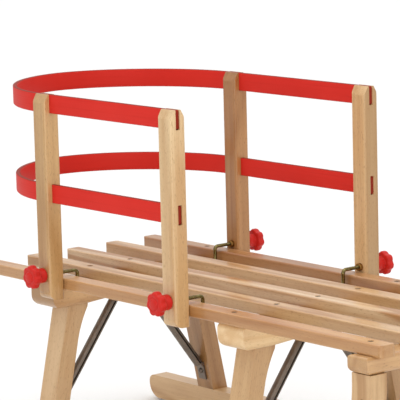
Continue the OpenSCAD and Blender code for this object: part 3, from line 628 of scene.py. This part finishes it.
band_sweep = band_tree()
post_y = middle("post_front_left", 1)
back_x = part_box("post_rear_left")[0][0]
for node in ("band_upper", "band_lower"):
    low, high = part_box(node)
    mid_z = (low[2] + high[2]) / 2
    reach = back_x - (low[0] + BAND_THICK / 2)
    # From the right-hand front end, with close steps in the rounded nose
    nose = [high[0] - BAND_NOSE * (1 - math.cos(math.radians(a))) for a in range(0, 90, 9)]
    run = [high[0] - BAND_NOSE - k * (high[0] - BAND_NOSE - back_x) / RUN_STEPS for k in range(RUN_STEPS)]
    straight = [(x, -post_y) for x in nose + run]
    bend = []
    for k in range(BEND_STEPS + 1):
        t = math.radians(-90 + 180 * k / BEND_STEPS)
        c, s = math.cos(t), math.sin(t)
        bend.append((back_x - reach * max(c, 0) ** (2 / BEND_POWER),
                     post_y * math.copysign(abs(s) ** (2 / BEND_POWER), s)))
    path = straight + bend + [(x, -y) for x, y in reversed(straight)]
    base = bpy.data.meshes.new(node + "_path")
    base.from_pydata([(x, y, mid_z) for x, y in path], [(k, k + 1) for k in range(len(path) - 1)], [])
    mesh = grown_mesh(node, base, band_sweep, {"Thickness": BAND_THICK, "Height": BAND_HEIGHT,
                                               "Edge Radius": BAND_EDGE, "Finish": band_material})
    # Round the front ends as seen from the side
    for v in mesh.vertices:
        past = v.co.x - (high[0] - BAND_NOSE)
        if past > 0:
            room = BAND_HEIGHT / 2 - BAND_NOSE + math.sqrt(max(BAND_NOSE ** 2 - past ** 2, 0))
            v.co.z = mid_z + max(-room, min(room, v.co.z - mid_z))
    bm = bmesh.new()
    bm.from_mesh(mesh)
    bmesh.ops.remove_doubles(bm, verts=bm.verts, dist=0.002 * MM)
    bmesh.ops.recalc_face_normals(bm, faces=bm.faces)
    for face in bm.faces:
        face.smooth = True
    for edge in bm.edges:
        edge.smooth = edge.calc_face_angle(0) < math.radians(40)
    bm.to_mesh(mesh)
    bm.free()
    place_piece(node + "_strip", mesh, band_material, [node])

# --------------------------------------------------------------- Guide bushes
# A domed brass bush in each post guides the hook bolt. It is turned, and has
# browned with use.

bush_material, tree, shader = new_material("browned turned brass")
place = add(tree, "ShaderNodeTexCoord").outputs["Object"]
patina = add(tree, "ShaderNodeTexNoise", {"Vector": place, "Scale": 320.0, "Detail": 4.0})
brass = add(tree, "ShaderNodeMix",
            {"Factor": patina.outputs["Fac"], 6: linear("5E4020"), 7: linear("B58A4A")}, data_type="RGBA")
tree.links.new(brass.outputs[2], shader.inputs["Base Color"])
rough = add(tree, "ShaderNodeMapRange", {"Value": patina.outputs["Fac"], "To Min": 0.42, "To Max": 0.22})
tree.links.new(rough.outputs[0], shader.inputs["Roughness"])
shader.inputs["Metallic"].default_value = 1.0
eased("guide_bushes", 0.2 * MM, bush_material, sharp=40, segments=2)

# ----------------------------------------------------------------- Hook bolts
# Four M5 steel bolts are bent down at the inner end and plated in yellow zinc.
# The straight part is threaded, from the post to the knob.

hook_material, tree, shader = new_material("yellow zinc plated steel")
place = add(tree, "ShaderNodeTexCoord").outputs["Object"]
cloud = add(tree, "ShaderNodeTexNoise", {"Vector": place, "Scale": 260.0, "Detail": 3.0})
zinc = add(tree, "ShaderNodeMix", {"Factor": cloud.outputs["Fac"], 6: linear("4E4528"), 7: linear("A0915E")},
           data_type="RGBA")
tree.links.new(zinc.outputs[2], shader.inputs["Base Color"])
shader.inputs["Metallic"].default_value = 1.0
shader.inputs["Roughness"].default_value = 0.2
PITCH = 0.8 * MM
THREAD_FROM = 130 * MM
# The thread is on the straight part only, away from the sled's centre line
axes = add(tree, "ShaderNodeSeparateXYZ", {0: place})
turns = add(tree, "ShaderNodeMath", {0: axes.outputs[1], 1: 2 / PITCH}, operation="MULTIPLY")
ridge = add(tree, "ShaderNodeMath", {0: turns.outputs[0], 1: 1.0}, operation="PINGPONG")
out = add(tree, "ShaderNodeMath", {0: axes.outputs[1]}, operation="ABSOLUTE")
cut = add(tree, "ShaderNodeMath", {0: out.outputs[0], 1: THREAD_FROM}, operation="GREATER_THAN")
ridge = add(tree, "ShaderNodeMath", {0: ridge.outputs[0], 1: cut.outputs[0]}, operation="MULTIPLY")
bump = add(tree, "ShaderNodeBump", {"Strength": 0.8, "Distance": 0.3 * MM, "Height": ridge.outputs[0]})
tree.links.new(bump.outputs[0], shader.inputs["Normal"])
for end in ENDS:
    for name in SIDES:
        eased(f"hook_{end}_{name}", 0.4 * MM, hook_material, sharp=50, segments=2)

# ----------------------------------------------------------------- Star knobs
# Seven-lobed star grips of moulded red plastic screw onto the bolts. A round
# hub stands off the post; the lobes and all edges are generously rounded.

knob_material, tree, shader = new_material("moulded red polyamide")
place = add(tree, "ShaderNodeTexCoord").outputs["Object"]
peel = add(tree, "ShaderNodeTexNoise", {"Vector": place, "Scale": 650.0, "Detail": 2.0})
cloud = add(tree, "ShaderNodeTexNoise", {"Vector": place, "Scale": 60.0, "Detail": 2.0})
red = add(tree, "ShaderNodeMix", {"Factor": cloud.outputs["Fac"], 6: linear("B81C16"), 7: linear("C8281E")},
          data_type="RGBA")
tree.links.new(red.outputs[2], shader.inputs["Base Color"])
rough = add(tree, "ShaderNodeMapRange", {"Value": peel.outputs["Fac"], "To Min": 0.34, "To Max": 0.46})
tree.links.new(rough.outputs[0], shader.inputs["Roughness"])
shader.inputs["IOR"].default_value = 1.53
shader.inputs["Specular IOR Level"].default_value = 0.18
bump = add(tree, "ShaderNodeBump", {"Strength": 0.25, "Distance": 0.05 * MM, "Height": peel.outputs["Fac"]})
tree.links.new(bump.outputs[0], shader.inputs["Normal"])

BOLT_R = 2.5 * MM
LOBES = 7
SCALLOP = 1.8
LOBE_STEPS = 14
# From inside the bore to the front: radius and height above the foot, in
# millimetres, and how much of the scallop between lobes is cut there
knob_profile = [
    (0.9, 21.95, 0), (2.55, 21.95, 0), (2.55, 12.0, 0), (2.55, 0.4, 0), (2.9, 0.0, 0), (8.0, 0.0, 0),
    (9.2, 0.35, 0), (9.75, 1.1, 0), (9.98, 2.2, 0), (9.95, 5.0, 0), (9.6, 8.0, 0), (9.2, 10.6, 0),
    (9.2, 11.9, 0), (9.6, 12.7, 0.05), (10.6, 13.05, 0.2), (12.4, 13.1, 0.6), (14.2, 13.4, 1),
    (15.3, 14.2, 1), (15.9, 15.6, 1), (16.0, 17.4, 1), (15.95, 20.0, 1), (15.7, 21.7, 1),
    (15.1, 22.9, 1), (14.0, 23.7, 1), (12.6, 24.1, 0.9), (11.0, 24.2, 0.6), (9.4, 24.0, 0.25),
    (8.2, 23.8, 0), (7.7, 23.9, 0), (7.4, 24.4, 0), (7.0, 25.0, 0), (6.2, 25.45, 0), (4.6, 25.75, 0),
    (2.4, 25.93, 0), (0.8, 25.99, 0),
]
KNOB_AROUND = LOBES * LOBE_STEPS
for end in ENDS:
    for name, side in SIDES.items():
        node = f"knob_{end}_{name}"
        low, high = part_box(node)
        foot_y = low[1] if side > 0 else high[1]
        axis_x, axis_z = (low[0] + high[0]) / 2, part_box(f"hook_{end}_{name}")[1][2] - BOLT_R
        bm = bmesh.new()
        rings = []
        for r, h, share in knob_profile:
            ring = []
            for k in range(KNOB_AROUND):
                a = 2 * math.pi * k / KNOB_AROUND
                hollow = ((1 - math.cos(LOBES * a)) / 2) ** 1.5
                radius = (r - share * SCALLOP * hollow) * MM
                ring.append(bm.verts.new((axis_x + radius * math.sin(a), foot_y + side * h * MM,
                                          axis_z + radius * math.cos(a))))
            rings.append(ring)
        join_rings(bm, rings)
        for ring in (rings[0], rings[-1]):
            bm.faces.new(ring)
        bmesh.ops.recalc_face_normals(bm, faces=bm.faces)
        for face in bm.faces:
            face.smooth = True
        mesh = bpy.data.meshes.new(node)
        bm.to_mesh(mesh)
        bm.free()
        place_piece(node + "_star", mesh, knob_material, [node])

# ------------------------------------------------------ Floor, light, camera
# A plain pale studio floor, a white sky, one large soft key light on the
# camera's side and one overhead.

material, tree, shader = new_material("pale studio floor")
shader.inputs["Base Color"].default_value = linear("E7E7E6")
shader.inputs["Roughness"].default_value = 0.9
floor = bpy.data.meshes.new("floor")
floor.from_pydata([(-30, -30, 0), (30, -30, 0), (30, 30, 0), (-30, 30, 0)], [], [(0, 1, 2, 3)])
floor.materials.append(material)
floor = bpy.data.objects.new("floor", floor)
bpy.context.scene.collection.objects.link(floor)

world = bpy.data.worlds.new("white sky")
world.use_nodes = True
tree = world.node_tree
sky = tree.nodes["Background"]
sky.inputs["Color"].default_value = (1, 1, 1, 1)
# The sky brightens towards the zenith, as under a large overhead diffuser
height = add(tree, "ShaderNodeSeparateXYZ", {0: add(tree, "ShaderNodeTexCoord").outputs["Generated"]})
height = add(tree, "ShaderNodeMath", {0: height.outputs[2], 1: 0.0}, operation="MAXIMUM")
height = add(tree, "ShaderNodeMath", {0: height.outputs[0], 1: 2.0}, operation="POWER")
glow = add(tree, "ShaderNodeMath", {0: height.outputs[0], 1: 1.3, 2: 0.62}, operation="MULTIPLY_ADD")
tree.links.new(glow.outputs[0], sky.inputs["Strength"])
bpy.context.scene.world = world
bpy.context.scene.view_settings.view_transform = "Standard"


def soft_light(name, place, aim, size, power):
    """A large square lamp at a place, facing aim."""
    lamp = bpy.data.lights.new(name, "AREA")
    lamp.shape, lamp.size, lamp.energy = "SQUARE", size, power
    lamp_object = bpy.data.objects.new(name, lamp)
    turn = (Vector(aim) - Vector(place)).to_track_quat("-Z", "Y").to_matrix().to_4x4()
    lamp_object.matrix_world = Matrix.Translation(place) @ turn
    bpy.context.scene.collection.objects.link(lamp_object)


soft_light("key", (2.1, -1.9, 0.55), (0, 0, 0.3), 0.7, 16)
soft_light("overhead", (0.2, 0.3, 2.8), (0, 0, 0.2), 2.2, 8)

camera_data = bpy.data.cameras.new("camera")
camera_data.sensor_width = 36
camera_data.lens = 234.41
camera = bpy.data.objects.new("camera", camera_data)
azimuth, height, roll = (math.radians(a) for a in (50.838, 8.939, -1.478))
back = Vector((math.sin(azimuth) * math.cos(height), -math.cos(azimuth) * math.cos(height), math.sin(height)))
right = Vector((math.cos(azimuth), math.sin(azimuth), 0))
up = back.cross(right)
right, up = (math.cos(roll) * right + math.sin(roll) * up, math.cos(roll) * up - math.sin(roll) * right)
pose = Matrix((right, up, back)).transposed().to_4x4()
pose.translation = (2.55815, -2.16193, 0.87752)
camera.matrix_world = pose
bpy.context.scene.collection.objects.link(camera)
bpy.context.scene.camera = camera
